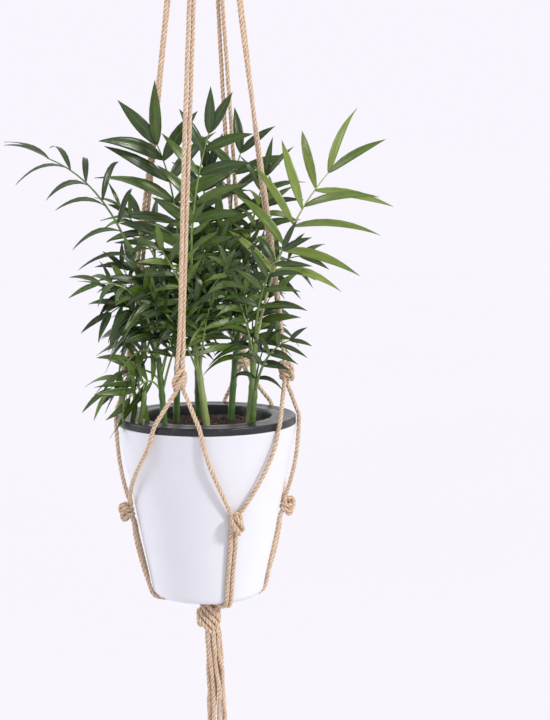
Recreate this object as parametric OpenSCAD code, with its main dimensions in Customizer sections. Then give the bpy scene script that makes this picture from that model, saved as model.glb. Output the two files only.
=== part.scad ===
// Hanging planter: a knotted rope hanger on a steel ring, a pot with a flanged liner, and a
// potted parlour palm. Millimetres. The origin is the top of the ring's eye, where a hook bears.
// +Z is up and -Y is the front. Heights called "z" inside the pot and palm sections count from
// the rim, which is the top of the liner's flange.

/* [Ring] */
// Inner diameter of the steel ring
ring_id = 40; // [30:1:60]
// Thickness of the ring's wire
ring_wire = 5; // [4:0.5:8]

/* [Hanger] */
// Height from the hook's bearing point down to the pot's rim
drop = 680; // [560:5:820]
// Diameter of one cord
cord_d = 4; // [3:0.1:4.4]
// Height of the wrapped gathering below the ring
wrap_h = 40; // [30:1:60]
// Height of the upper knots above the rim
upper_knot_rise = 41; // [30:1:60]
// Depth of the lower knots below the rim
lower_knot_depth = 85; // [60:1:100]
// Outer diameter of the small knots
knot_d = 14; // [12:0.5:18]
// Length of the small knots
knot_h = 20; // [16:1:26]
// Outer diameter of the gathering knot under the pot
base_knot_d = 25; // [22:0.5:32]
// Length of the gathering knot under the pot
base_knot_h = 27; // [24:1:36]
// How much of a cord's sideways run is done by the time that it crosses the rim
rim_share = 0.35; // [0.2:0.05:0.5]

/* [Pot] */
// Outer diameter of the outer pot at its top
pot_d = 160; // [130:1:200]
// Outer diameter of the outer pot's side where the bottom edge starts to round
pot_base_d = 100; // [80:1:120]
// Height of the outer pot
pot_h = 155.5; // [130:0.5:190]
// Radius of the outer pot's bottom edge
pot_edge_r = 8; // [4:0.5:12]
// Wall of the outer pot
pot_wall = 2.5; // [1.6:0.1:4]

/* [Liner] */
// How far the edge of the liner's flange stands in from the edge of the outer pot
flange_inset = 0.5; // [0:0.1:2]
// Inner diameter of the liner at its mouth
mouth_d = 115; // [90:1:124]
// Height of the flange with its turned-down lip
flange_h = 6.5; // [4:0.5:10]
// Depth of the liner below the rim
liner_depth = 125; // [100:1:130]
// Inner diameter of the liner at its bottom
liner_base_d = 84; // [60:1:88]
// Wall of the liner
liner_wall = 1.8; // [1.2:0.1:2.5]
// Diameter of the liner's drainage holes
drain_d = 6; // [4:0.5:10]
// Depth of the soil's surface below the rim
soil_depth = 9; // [8:1:30]

/* [Palm] */
// Overall size of the palm against its usual size
palm_scale = 1; // [0.8:0.05:1.2]
// Diameter of a cane at the soil
cane_d = 6.4; // [4:0.2:8]
// Width of a leaflet at its widest
leaflet_w = 11; // [7:0.5:13]

/* [Hidden] */
cord_r = cord_d / 2;
// Clear gap between a cord and the pot, the flange or the ring
gap = 0.4;
// Thickness of the flange's plate and of its lip
plate = 2;
// Gap between the soil and the liner's wall
soil_gap = 0.3;
// Corner radius of the ends of a small knot, as a share of its radius
knot_round = 0.55;

// Ring: centre of its circle and radius of its wire's centre line
ring_r = ring_id / 2 + ring_wire / 2;
ring_z = -ring_id / 2;
// Radius of a cord's centre line around the wire
fold_r = ring_wire / 2 + cord_r + gap;
// Angles around the ring at which the four cords are folded over it
fold_step = 2 * asin(cord_r / (ring_r - fold_r)) + 1.5;
// Radius of the ring of eight cords in the gathering, in the tassel and above the base knot
bundle_r = cord_r / sin(22.5) + 0.3;

// Gathering: a sleeve with a domed lower end, whose dome is centred on the neck joint
wrap_r = bundle_r + cord_r + 2.2;
wrap_top = ring_z - ring_r - fold_r - 13;
neck_z = wrap_top - wrap_h + wrap_r;
arm_top = neck_z - wrap_r - 0.8;

// The flange covers the outer pot's rim
flange_d = pot_d - 2 * flange_inset;

// How far each leg of the net departs from rim_share: two legs for each arm
rim_lean = [-0.12, 0, 0.07, 0, 0, 0, 0, 0];

// Directions of the four arms and, between them, of the four lower knots, in degrees from +X
arm_az = [-108, -18, 63, 162];
side_az = [-70, 8, 106, 188];
rim_z = -drop;
pot_top = rim_z - flange_h;
pot_bottom = pot_top - pot_h;
edge_z = pot_bottom + pot_edge_r;
upper_r = pot_d / 2 - 7.5;
upper_z = rim_z + upper_knot_rise;
lower_z = rim_z - lower_knot_depth;
knot_r = knot_d / 2;
// The base knot hangs this far below the pot, and the tassel's joint is at its centre
base_knot_r = base_knot_d / 2;
base_z = pot_bottom - 2 * cord_r - base_knot_h / 2 - 4;
tassel_top = base_z - base_knot_h / 2 - 0.6;

// The tassel's centre line, from its top: sideways, towards the back, down
tassel_line = [
    [4, 0, 0], [4.2, 0, -8], [4.6, -0.2, -17], [5.2, -0.4, -27], [6, -0.4, -37], [6.6, -0.2, -47],
    [7, 0.2, -57], [7, 0.6, -67], [6.8, 0.8, -77], [6.4, 0.8, -87], [6.2, 0.6, -97], [6.2, 0.2, -107],
    [6.4, 0, -117], [6.8, -0.2, -127], [7.2, -0.2, -137]
];
// How much longer or shorter than the line each strand hangs
strand_extra = [8, 2, 11, 5, 0, 9, 4, 12];
// Growth of the tassel's bundle from top to bottom, and its turn in degrees
tassel_spread = 2.6;
tassel_turn = 40;

// The fronds reach out between the arms, so their points, which are set for arms that are this
// far apart at the upper knots, spread with the arms
set_for_r = 72.5;
reach = [upper_r / set_for_r * palm_scale, upper_r / set_for_r * palm_scale, palm_scale];
// Each palm seedling: [base, cane top, fronds], and each frond: [bend, tip, facing, leaflet
// length, leaflet pairs, droop]. A base is a share of the soil's radius to the side and to the
// back. A cane's top counts from its base to the side and to the back, and from the rim upwards.
// Bends and tips count from the centre of the rim, and the droop is the share of a leaflet's
// length by which its tip hangs down.
FRONT = [0, -0.9, 0.45];
UPWARD = [0, -0.55, 0.85];
seedlings = [
    [[0.64, -0.25], [7, -6, 66], [
        [[60, -42, 164], [106, -48, 216], [-0.2, -0.85, 0.5], 84, 6, 0.2],
        [[42, -42, 116], [66, -54, 150], FRONT, 40, 5, 0.15]]],
    [[0.035, -0.39], [-14, 4, 80], [
        [[-18, -20, 180], [4, -28, 250], FRONT, 54, 6, 0.1],
        [[-16, -36, 116], [-38, -42, 150], FRONT, 40, 5, 0.15],
        [[-4, -34, 108], [16, -42, 130], FRONT, 36, 4, 0.15]]],
    [[-0.64, -0.355], [-6, 0, 54], [
        [[-62, -32, 200], [-134, -38, 228], UPWARD, 66, 6, 0.35],
        [[-52, -40, 126], [-90, -54, 122], UPWARD, 42, 5, 0.3],
        [[-56, -30, 74], [-74, -36, 44], FRONT, 32, 4, 0.2]]],
    [[-0.5, 0.105], [4, -2, 92], [
        [[-18, 0, 186], [-42, -2, 240], FRONT, 76, 6, 0.15],
        [[-50, -4, 118], [-84, -8, 92], FRONT, 40, 5, 0.2]]],
    [[-0.14, 0.46], [0, -4, 80], [
        [[-8, 30, 160], [2, 34, 214], FRONT, 54, 6, 0.15],
        [[-30, 34, 140], [-60, 46, 172], FRONT, 46, 5, 0.15],
        [[4, 30, 112], [26, 34, 138], FRONT, 40, 4, 0.15]]],
    [[0.355, 0.14], [10, 0, 100], [
        [[38, 10, 170], [54, 8, 212], FRONT, 50, 5, 0.15],
        [[50, 14, 136], [84, 12, 140], FRONT, 38, 5, 0.25],
        [[14, 14, 180], [32, 18, 232], FRONT, 58, 5, 0.15]]],
    [[0.675, -0.535], [4, -6, 26], [
        [[48, -44, 64], [72, -52, 72], FRONT, 30, 4, 0.15]]],
];
// Depth of a cane in the soil, and width of a frond's stalk at its start and at its tip
cane_sunk = 14;
stalk_d = [3.4, 1.4];
// Share of a frond's stalk below its first leaflets
bare_share = 0.36;
// Thickness of a leaflet
leaflet_t = 0.9;

// ---- Geometry helpers ----
function unit(v) = v / norm(v);
function polar(az, r, z) = [r * cos(az), r * sin(az), z];
function mix(a, b, t) = a + (b - a) * t;
function step_at(p, i) = unit(p[min(i + 1, len(p) - 1)] - p[max(i - 1, 0)]);
// A direction square to the route that never lines up with it
function side_of(d) = unit(cross(d, abs(d.z) > 0.9 ? [0, 1, 0] : [0, 0, 1]));
function ring_points(p, d, side, r, n) =
    [for (k = [0:n - 1]) p + r * (cos(360 * k / n) * side + sin(360 * k / n) * cross(d, side))];
// Directions carried from ring to ring, so that the tube doesn't twist
function carried(p, i = 0, side = undef) =
    i >= len(p) ? [] :
    let(d = step_at(p, i),
        s = is_undef(side) ? side_of(d) : unit(side - d * (side * d)))
    concat([s], carried(p, i + 1, s));

module tube(p, r, sides = 8) {
    n = len(p);
    s = carried(p);
    points = [for (i = [0:n - 1]) each ring_points(p[i], step_at(p, i), s[i], r, sides)];
    wall = [for (i = [0:n - 2]) for (k = [0:sides - 1])
        each [[i * sides + k, i * sides + (k + 1) % sides, (i + 1) * sides + (k + 1) % sides],
              [i * sides + k, (i + 1) * sides + (k + 1) % sides, (i + 1) * sides + k]]];
    bottom = [[for (k = [sides - 1:-1:0]) k]];
    top = [[for (k = [0:sides - 1]) (n - 1) * sides + k]];
    polyhedron(points, [for (f = concat(bottom, wall, top)) [for (j = [len(f) - 1:-1:0]) f[j]]]);
}

module rod(a, b, r) {
    d = b - a;
    translate(a) rotate([0, acos(d.z / norm(d)), atan2(d.y, d.x)]) cylinder(h = norm(d), r = r, $fn = 48);
}

// A knot's plain outer shape, centred, with rounded ends
module knot_shape(r, h, round) {
    e = r * round;
    rotate_extrude($fn = 64)
        polygon(concat([[0, -h / 2]],
            [for (a = [-90:15:0]) [r - e + e * cos(a), -h / 2 + e + e * sin(a)]],
            [for (a = [0:15:90]) [r - e + e * cos(a), h / 2 - e + e * sin(a)]],
            [[0, h / 2]]));
}

// ---- Outer pot's profile ----
function pot_r_at(z) = mix(pot_d / 2, pot_base_d / 2, (pot_top - z) / (pot_h - pot_edge_r));

// ---- Routes of the cords ----
// An arm's cord 1 or 2 leans to one side by half a cord, seen along the arm
function arm_side(i) = polar(arm_az[i] + 90, cord_r + 0.15, 0);
function arm_start(i, s) = polar(arm_az[i] + s * 21, bundle_r + 0.6, arm_top);
function arm_end(i, s) = polar(arm_az[i], upper_r, upper_z + knot_h / 2 - 4) + s * arm_side(i);

// From an upper knot, over the flange's edge and down the pot's side to a lower knot
net_steps = 9;
function net_az(arm, side) = let(d = side - arm) d > 180 ? d - 360 : d < -180 ? d + 360 : d;
function net_route(i, j) =
    let(turn = net_az(arm_az[i], side_az[j]),
        s = sign(turn),
        share = rim_share + rim_lean[2 * i + (s > 0 ? 1 : 0)],
        start = polar(arm_az[i], upper_r, upper_z - knot_h / 2 + 3) + s * arm_side(i),
        over = polar(arm_az[i] + turn * share, flange_d / 2 + cord_r + gap + 0.4, rim_z + 1.2),
        top = pot_top - 1,
        low = lower_z + knot_h / 2 - 4,
        az0 = arm_az[i] + turn * (share + 0.04),
        az1 = arm_az[i] + turn - s * 2.4)
    concat([start, mix(start, over, 0.35), mix(start, over, 0.7), over],
        [for (k = [0:net_steps])
            let(t = k / net_steps, z = mix(top, low, t))
            polar(mix(az0, az1, pow(t, 1.4)), pot_r_at(z) + cord_r + gap + 2.5 * sin(180 * t) + 1.6 * t, z)]);

// From a lower knot, down the side, round the bottom edge and inwards to the base knot
edge_steps = 4;
function under_route(j, s) =
    let(az = side_az[j],
        off = polar(az + 90, s * (cord_r + 0.15), 0),
        low = lower_z - knot_h / 2 + 4,
        slope = atan2((pot_d - pot_base_d) / 2, pot_h - pot_edge_r),
        bend_r = pot_edge_r + cord_r + gap,
        edge_in = pot_base_d / 2 - pot_edge_r,
        last = polar(az + s * 20, bundle_r, base_z + base_knot_h / 2 - 4))
    concat(
        [for (t = [0:0.25:0.75])
            let(z = mix(low, edge_z, t))
            off + polar(az, pot_r_at(z) + cord_r + gap + 1.6 * (1 - t), z)],
        [for (k = [0:edge_steps])
            let(a = mix(-slope, -90, k / edge_steps))
            off + polar(az, edge_in + bend_r * cos(a), edge_z + bend_r * sin(a))],
        [off + polar(az, edge_in - 12, pot_bottom - cord_r - 1.2),
         mix(off + polar(az, 16, pot_bottom - cord_r - 3), polar(az + s * 20, 16, pot_bottom - cord_r - 3), 0.5),
         last]);

// Up from the gathering, over the ring's wire and down again
fold_steps = 8;
function on_ring(a, out, y) = [(ring_r - out) * sin(a), y, ring_z - (ring_r - out) * cos(a)];
function loop_route(i) =
    let(a = (i - 1.5) * fold_step,
        az = 157.5 - 45 * i,
        back = polar(az, bundle_r, wrap_top - 3),
        front = [back.x, -back.y, back.z],
        side = [for (k = [0:fold_steps]) on_ring(a, fold_r * sin(180 * k / fold_steps), fold_r * cos(180 * k / fold_steps))])
    concat([back, mix(back, side[0] - [0, 0, 2], 0.55)], side, [mix(front, side[fold_steps] - [0, 0, 2], 0.55), front]);

// One strand of the tassel: the centre line, with the strand's own place round it
function strand_route(i) =
    let(last = len(tassel_line) - 1,
        line = concat(tassel_line, [tassel_line[last] - [0, 0, strand_extra[i]]]))
    [for (k = [0:last + (strand_extra[i] > 3 ? 1 : 0)])
        [0, 0, tassel_top] + line[k] + polar(45 * i + tassel_turn * k / last, bundle_r + tassel_spread * k / last, 0)];

// ---- Sub-parts ----
module hanging_ring() {
    color("silver") translate([0, 0, ring_z]) rotate([90, 0, 0])
        rotate_extrude($fn = 96) translate([ring_r, 0]) circle(d = ring_wire, $fn = 32);
}

module ring_loop(i) {
    color("burlywood") tube(loop_route(i), cord_r);
}

module gathering_wrap() {
    e = 2;
    low = wrap_top - wrap_h;
    color("tan") rotate_extrude($fn = 96)
        polygon(concat([[0, low]],
            [for (a = [-80:10:0]) [wrap_r * cos(a), neck_z + wrap_r * sin(a)]],
            [for (a = [0:30:90]) [wrap_r - e + e * cos(a), wrap_top - e + e * sin(a)]],
            [[0, wrap_top]]));
}

module arm_cord(i, s) {
    color("burlywood") rod(arm_start(i, s), arm_end(i, s), cord_r);
}

module upper_knot(i) {
    lean = atan2(upper_r - bundle_r, arm_top - upper_z);
    color("tan") translate(polar(arm_az[i], upper_r, upper_z)) rotate([0, -lean, arm_az[i]])
        knot_shape(knot_r, knot_h, knot_round);
}

module net_cord(i, j) {
    color("burlywood") tube(net_route(i, j), cord_r);
}

module lower_knot(j) {
    slope = atan2((pot_d - pot_base_d) / 2, pot_h - pot_edge_r);
    r = pot_r_at(lower_z) + knot_r / cos(slope) + gap;
    color("tan") translate(polar(side_az[j], r, lower_z)) rotate([0, slope, side_az[j]])
        knot_shape(knot_r, knot_h, knot_round);
}

module under_cord(j, s) {
    color("burlywood") tube(under_route(j, s), cord_r);
}

module base_knot() {
    // Its ends are half balls, which the tassel's strands swing round without touching
    color("tan") translate([0, 0, base_z]) knot_shape(base_knot_r, base_knot_h, 1);
}

module tassel_strand(i) {
    color("burlywood") tube(strand_route(i), cord_r);
}

// A tapered, round-bottomed cup: outer radius at the top and at the rounded edge
module cup(r_top, r_low, h, edge) {
    rotate_extrude($fn = 128)
        polygon(concat([[0, 0]],
            [for (a = [-90:10:0]) [r_low - edge + edge * cos(a), edge + edge * sin(a)]],
            [[r_top, h], [0, h]]));
}

module outer_pot() {
    color("white") translate([0, 0, pot_bottom]) difference() {
        cup(pot_d / 2, pot_base_d / 2, pot_h, pot_edge_r);
        translate([0, 0, pot_wall])
            cup(pot_d / 2 - pot_wall, pot_base_d / 2 - pot_wall, pot_h - pot_wall + 0.01, pot_edge_r - pot_wall + 0.5);
    }
}

module liner_pot() {
    r0 = mouth_d / 2;
    r1 = liner_base_d / 2;
    rf = flange_d / 2;
    drain_r = liner_base_d / 4;
    color("dimgray") translate([0, 0, rim_z]) difference() {
        rotate_extrude($fn = 128)
            polygon([
                [0, -liner_depth], [r1, -liner_depth], [r1 + liner_wall, -liner_depth + liner_wall],
                [r0 + liner_wall, -plate - 2], [r0 + liner_wall + 2, -plate], [rf - plate, -plate],
                [rf - plate, -flange_h], [rf, -flange_h], [rf, -1.2], [rf - 1.2, 0], [r0 + 1, 0], [r0, -1],
                [r1, -liner_depth + liner_wall], [0, -liner_depth + liner_wall]]);
        for (a = [45:90:315])
            rotate([0, 0, a]) translate([drain_r, 0, -liner_depth - 1]) cylinder(h = liner_wall + 2, d = drain_d, $fn = 32);
    }
}

// Liner's inner radius at a height that counts from the rim
function liner_r_at(z) = mix(mouth_d / 2, liner_base_d / 2, (-1 - z) / (liner_depth - liner_wall - 1));
module soil() {
    low = -liner_depth + liner_wall + soil_gap;
    color("#3b2a20") translate([0, 0, rim_z])
        rotate_extrude($fn = 96)
            polygon([[0, low], [liner_r_at(low) - soil_gap, low], [liner_r_at(-soil_depth - 2) - soil_gap, -soil_depth - 2],
                [liner_r_at(-soil_depth) - soil_gap - 4, -soil_depth], [0, -soil_depth]]);
}

// ---- Palm ----
function bezier(a, b, c, t) = mix(mix(a, b, t), mix(b, c, t), t);
module stick(p, d0, d1) {
    n = len(p) - 1;
    for (i = [0:n - 1])
        hull() {
            translate(p[i]) sphere(d = mix(d0, d1, i / n), $fn = 6);
            translate(p[i + 1]) sphere(d = mix(d0, d1, (i + 1) / n), $fn = 6);
        }
}

// One leaflet from p along d, whose tip hangs down by a share of its length. n is the facing.
module leaflet(p, d, n, l, width, droop) {
    w = unit(cross(d, n));
    up = cross(w, d);
    shape = [[0, 0.22], [0.4, 1], [0.75, 0.7], [1, 0.1]];
    points = [for (a = shape)
        let(c = p + d * l * a[0] * (1 - 0.3 * droop * a[0]) - [0, 0, droop * l * a[0] * a[0]],
            half = width / 2 * a[1],
            thick = leaflet_t / 2 * (1 - 0.4 * a[0]))
        each [c + w * half, c + up * thick, c - w * half, c - up * thick]];
    last = len(points) - 4;
    wall = [for (i = [0:4:last - 4]) for (k = [0:3]) let(m = (k + 1) % 4)
        each [[i + m, i + 4 + k, i + k], [i + 4 + m, i + 4 + k, i + m]]];
    polyhedron(points, concat([[2, 1, 0], [3, 2, 0], [last + 1, last + 2, last], [last + 2, last + 3, last]], wall));
}

function spread(p) = [p.x * reach.x, p.y * reach.y, p.z * reach.z];
module frond(start, f) {
    bend = spread(f[0]);
    tip = spread(f[1]);
    pairs = f[4];
    stick([for (k = [0:6]) bezier(start, bend, tip, k / 6)], stalk_d[0], stalk_d[1]);
    for (k = [0:pairs - 1], s = [-1, 1]) {
        u = k / (pairs - 1);
        t = mix(bare_share, 0.99, u);
        p = bezier(start, bend, tip, t);
        along = unit(bezier(start, bend, tip, t) - bezier(start, bend, tip, t - 0.05));
        across = unit(cross(along, f[2]));
        angle = k == pairs - 1 ? 22 : mix(72, 54, u);
        l = f[3] * palm_scale * (0.72 + 0.28 * sin(180 * min(1, u * 0.8 + 0.15)));
        width = leaflet_w * mix(0.7, 1, f[3] / 84);
        leaflet(p, unit(along * cos(angle) + s * across * sin(angle)), unit(f[2]), l, width, f[5]);
    }
}

module palm_seedling(i) {
    soil_r = liner_r_at(-soil_depth) - soil_gap;
    foot = [seedlings[i][0].x * soil_r, seedlings[i][0].y * soil_r, 0];
    base = foot - [0, 0, soil_depth + cane_sunk];
    top = foot + seedlings[i][1] * palm_scale;
    color("forestgreen") translate([0, 0, rim_z]) {
        stick([base, mix(base, top, 0.5) + [0, 0, 2], top], cane_d, cane_d * 0.7);
        for (f = seedlings[i][2]) frond(top, f);
    }
}

// ---- What is drawn ----
hanging_ring();
for (i = [0:3]) ring_loop(i);
gathering_wrap();
for (i = [0:3]) arm_cord(i, -1);
for (i = [0:3]) arm_cord(i, 1);
for (i = [0:3]) upper_knot(i);
for (i = [0:3]) net_cord(i, (i + 3) % 4);
for (i = [0:3]) net_cord(i, i);
for (i = [0:3]) lower_knot(i);
for (i = [0:3]) under_cord(i, -1);
for (i = [0:3]) under_cord(i, 1);
base_knot();
for (i = [0:7]) tassel_strand(i);
outer_pot();
liner_pot();
soil();
for (i = [0:6]) palm_seedling(i);
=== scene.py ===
"""Looks of the hanging planter: jute hanger, white pot with its grey liner, and a parlour palm.

Lengths are millimetres until a mesh is made, with the same values and routes as part.scad.
"""

import math

import bpy
import numpy as np
from mathutils import Matrix, Vector, noise


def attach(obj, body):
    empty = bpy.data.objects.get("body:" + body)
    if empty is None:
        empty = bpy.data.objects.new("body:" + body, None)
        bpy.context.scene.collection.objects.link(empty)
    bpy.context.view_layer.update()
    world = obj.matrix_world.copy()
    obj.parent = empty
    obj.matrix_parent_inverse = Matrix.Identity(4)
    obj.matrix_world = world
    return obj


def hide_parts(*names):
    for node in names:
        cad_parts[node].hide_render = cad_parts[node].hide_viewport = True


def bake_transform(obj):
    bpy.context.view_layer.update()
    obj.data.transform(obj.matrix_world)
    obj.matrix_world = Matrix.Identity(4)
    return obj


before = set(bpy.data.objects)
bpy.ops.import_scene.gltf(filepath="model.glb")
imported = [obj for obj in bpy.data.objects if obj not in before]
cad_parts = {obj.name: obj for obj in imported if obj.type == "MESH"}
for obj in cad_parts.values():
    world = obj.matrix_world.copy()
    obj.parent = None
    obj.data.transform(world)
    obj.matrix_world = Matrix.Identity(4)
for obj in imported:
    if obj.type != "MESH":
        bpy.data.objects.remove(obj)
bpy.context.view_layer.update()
MM = 0.001

# ---- Sizes, as in part.scad ----
CORD_D, CORD_R, GAP = 4.0, 2.0, 0.4
RING_WIRE, RING_R, RING_Z = 5.0, 22.5, -20.0
DROP, WRAP_H = 680.0, 40.0
POT_D, POT_BASE_D, POT_H, POT_EDGE_R, POT_WALL = 160.0, 100.0, 155.5, 8.0, 2.5
FLANGE_D, MOUTH_D, FLANGE_H = 159.0, 115.0, 6.5
LINER_DEPTH, LINER_BASE_D, LINER_WALL, PLATE, SOIL_DEPTH = 125.0, 84.0, 1.8, 2.0, 9.0
KNOT_D, KNOT_H, BASE_KNOT_D, BASE_KNOT_H = 14.0, 20.0, 25.0, 27.0
CANE_D, LEAFLET_W, BARE_SHARE, CANE_SUNK = 6.4, 11.0, 0.36, 14.0
FOLD_R = RING_WIRE / 2 + CORD_R + GAP
FOLD_STEP = 2 * math.degrees(math.asin(CORD_R / (RING_R - FOLD_R))) + 1.5
BUNDLE_R = CORD_R / math.sin(math.radians(22.5)) + 0.3
WRAP_R = BUNDLE_R + CORD_R + 2.2
WRAP_TOP = RING_Z - RING_R - FOLD_R - 13
NECK_Z = WRAP_TOP - WRAP_H + WRAP_R
ARM_TOP = NECK_Z - WRAP_R - 0.8
ARM_AZ = [-108, -18, 63, 162]
SIDE_AZ = [-70, 8, 106, 188]
RIM_Z = -DROP
POT_TOP = RIM_Z - FLANGE_H
POT_BOTTOM = POT_TOP - POT_H
EDGE_Z = POT_BOTTOM + POT_EDGE_R
UPPER_R, UPPER_Z, LOWER_Z = POT_D / 2 - 7.5, RIM_Z + 41, RIM_Z - 85
KNOT_R = KNOT_D / 2
BASE_Z = POT_BOTTOM - 2 * CORD_R - BASE_KNOT_H / 2 - 4
TASSEL_TOP = BASE_Z - BASE_KNOT_H / 2 - 0.6
SLOPE = math.degrees(math.atan2((POT_D - POT_BASE_D) / 2, POT_H - POT_EDGE_R))


# ---- Vectors and curves ----
def vec(*a):
    return np.array(a, float)


def unit(v):
    return v / np.linalg.norm(v)


def mix(a, b, t):
    return a + (b - a) * t


def polar(az, r, z=0.0):
    a = math.radians(az)
    return vec(r * math.cos(a), r * math.sin(a), z)


def ease(a, b, x):
    t = np.clip((x - a) / (b - a), 0, 1)
    return t * t * (3 - 2 * t)


def bezier(a, b, c, t):
    return mix(mix(a, b, t), mix(b, c, t), t)


def smooth(points, step):
    """Points about one step apart on one smooth curve through these."""
    p = np.array(points, float)
    h = np.maximum(np.linalg.norm(np.diff(p, axis=0), axis=1), 1e-6)
    v = np.diff(p, axis=0) / h[:, None]
    m = np.empty_like(p)
    m[0], m[-1] = v[0], v[-1]
    if len(p) > 2:
        m[1:-1] = (v[:-1] * h[1:, None] + v[1:] * h[:-1, None]) / (h[:-1] + h[1:])[:, None]
    fine = []
    for i in range(len(h)):
        t = np.linspace(0, 1, max(3, int(h[i] / step * 3)), endpoint=False)[:, None]
        fine.append(
            (2 * t**3 - 3 * t**2 + 1) * p[i]
            + (t**3 - 2 * t**2 + t) * h[i] * m[i]
            + (3 * t**2 - 2 * t**3) * p[i + 1]
            + (t**3 - t**2) * h[i] * m[i + 1]
        )
    fine.append(p[-1:])
    q = np.vstack(fine)
    s = np.concatenate([[0], np.cumsum(np.linalg.norm(np.diff(q, axis=0), axis=1))])
    at = np.linspace(0, s[-1], max(2, int(round(s[-1] / step))) + 1)
    return np.column_stack([np.interp(at, s, q[:, k]) for k in range(3)])


def carried(p):
    """Direction along the curve and two directions square to it, which don't twist."""
    along = np.gradient(p, axis=0)
    along /= np.linalg.norm(along, axis=1)[:, None]
    side = np.empty_like(p)
    first = np.cross(along[0], vec(0, 1, 0) if abs(along[0][2]) > 0.9 else vec(0, 0, 1))
    side[0] = unit(first)
    for i in range(1, len(p)):
        w = side[i - 1] - along[i] * (side[i - 1] @ along[i])
        side[i] = w / np.linalg.norm(w)
    return along, side, np.cross(along, side)


def soft_noise(x, seed):
    """A smooth wave from -1 to 1 that doesn't repeat soon."""
    return (
        np.sin(x + seed * 1.7)
        + 0.6 * np.sin(x * 2.23 + seed * 2.9)
        + 0.4 * np.sin(x * 4.1 + seed * 0.7)
    ) / 2


# ---- Meshes ----
class Build:
    """Gathers vertices (mm), faces, a vector and a number per vertex, and a material index per face."""

    def __init__(self):
        self.v, self.f, self.grain, self.tone, self.m, self.n = [], [], [], [], [], 0

    def add(self, v, faces, grain, tone, material=0):
        self.f += [tuple(k + self.n for k in f) for f in faces]
        self.m += [material] * len(faces)
        self.v.append(v)
        self.grain.append(grain)
        self.tone.append(np.broadcast_to(tone, (len(v),)).astype(float))
        self.n += len(v)

    def make(self, name, materials):
        mesh = bpy.data.meshes.new(name)
        mesh.from_pydata((np.vstack(self.v) * MM).tolist(), [], self.f)
        mesh.attributes.new("grain", "FLOAT_VECTOR", "POINT").data.foreach_set(
            "vector", np.vstack(self.grain).astype(np.float32).ravel()
        )
        mesh.attributes.new("tone", "FLOAT", "POINT").data.foreach_set(
            "value", np.concatenate(self.tone).astype(np.float32)
        )
        for m in materials:
            mesh.materials.append(m)
        mesh.polygons.foreach_set("material_index", self.m)
        mesh.polygons.foreach_set("use_smooth", [True] * len(self.f))
        mesh.update()
        obj = bpy.data.objects.new(name, mesh)
        bpy.context.scene.collection.objects.link(obj)
        return obj


def tube_faces(rings, sides):
    """Faces of a closed tube whose first and last vertices are its two end points."""
    f = []
    for k in range(sides):
        m = (k + 1) % sides
        f.append((0, 1 + m, 1 + k))
        for i in range(rings - 1):
            a, b = 1 + i * sides, 1 + (i + 1) * sides
            f.append((a + k, a + m, b + m, b + k))
        f.append((1 + rings * sides, 1 + (rings - 1) * sides + k, 1 + (rings - 1) * sides + m))
    return f


def circled(p, side, other, r, angle):
    """Rings of points round the points of a curve, at these radii and angles."""
    out = (r * np.cos(angle))[..., None] * side[:, None]
    return p[:, None] + out + (r * np.sin(angle))[..., None] * other[:, None]


SIDES = 18


def add_rope(build, points, d=CORD_D, lay=13.0, phase=0.0, seed=0, ends=(1.0, 1.0), step=1.15):
    """One three-ply twisted cord along the points. Returns its centre line.

    lay is the length in which the plies turn once, and ends widens or thins the two ends.
    """
    p = smooth(points, step)
    along, side, other = carried(p)
    s = np.concatenate([[0], np.cumsum(np.linalg.norm(np.diff(p, axis=0), axis=1))])
    k = np.arange(SIDES) * 2 * math.pi / SIDES
    lobe = np.abs(np.cos(1.5 * k))
    shape = 0.73 + 0.27 * lobe**0.75
    turn = phase + 2 * math.pi * s / lay + 0.25 * soft_noise(s / 21, seed)
    size = 1 + 0.035 * soft_noise(s / 9, seed + 3) + 0.02 * soft_noise(s / 2.3, seed + 5)
    size = size * mix(ends[0], 1, ease(0, 8, s)) * mix(ends[1], 1, ease(0, 8, s[-1] - s))
    r = d / 2 * size[:, None] * shape[None, :]
    ply = 1 + 0.03 * np.sin(turn[:, None] * 0.7 + np.round(k / (2 * math.pi / 3))[None, :] * 2.1 + seed)
    a = k[None, :] + turn[:, None]
    ring = circled(p, side, other, r * ply, a)
    caps = [(-1.15, 0.35), (-0.7, 0.78)]
    front = [p[0] + along[0] * o * d / 4 + (ring[0] - p[0]) * q for o, q in caps]
    back = [p[-1] - along[-1] * o * d / 4 + (ring[-1] - p[-1]) * q for o, q in reversed(caps)]
    rings = np.concatenate([np.array(front), ring, np.array(back)])
    v = np.vstack([[p[0] - along[0] * d * 0.31], rings.reshape(-1, 3), [p[-1] + along[-1] * d * 0.31]])
    angle = np.vstack([np.broadcast_to(a[0], (2, SIDES)), a, np.broadcast_to(a[-1], (2, SIDES))])
    angle = angle - 0.45 * np.concatenate([[turn[0]] * 2, turn, [turn[-1]] * 2])[:, None]
    length = np.concatenate([[s[0] - 1, s[0] - 0.5], s, [s[-1] + 0.5, s[-1] + 1]]) + 37.0 * seed
    lengths = np.broadcast_to(length[:, None], angle.shape)
    grain = np.stack([d / 2 * np.cos(angle), d / 2 * np.sin(angle), lengths], -1)
    grain = np.vstack([[0, 0, length[0]], grain.reshape(-1, 3), [0, 0, length[-1]]])
    # tone is how deep each point lies in a groove between plies; the jute material paints shade into the
    # grooves from it.
    tone = np.concatenate([[0.5], np.broadcast_to((1 - lobe)[None, :], angle.shape).ravel(), [0.5]])
    build.add(v, tube_faces(len(rings), SIDES), grain, tone)
    return p


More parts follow.
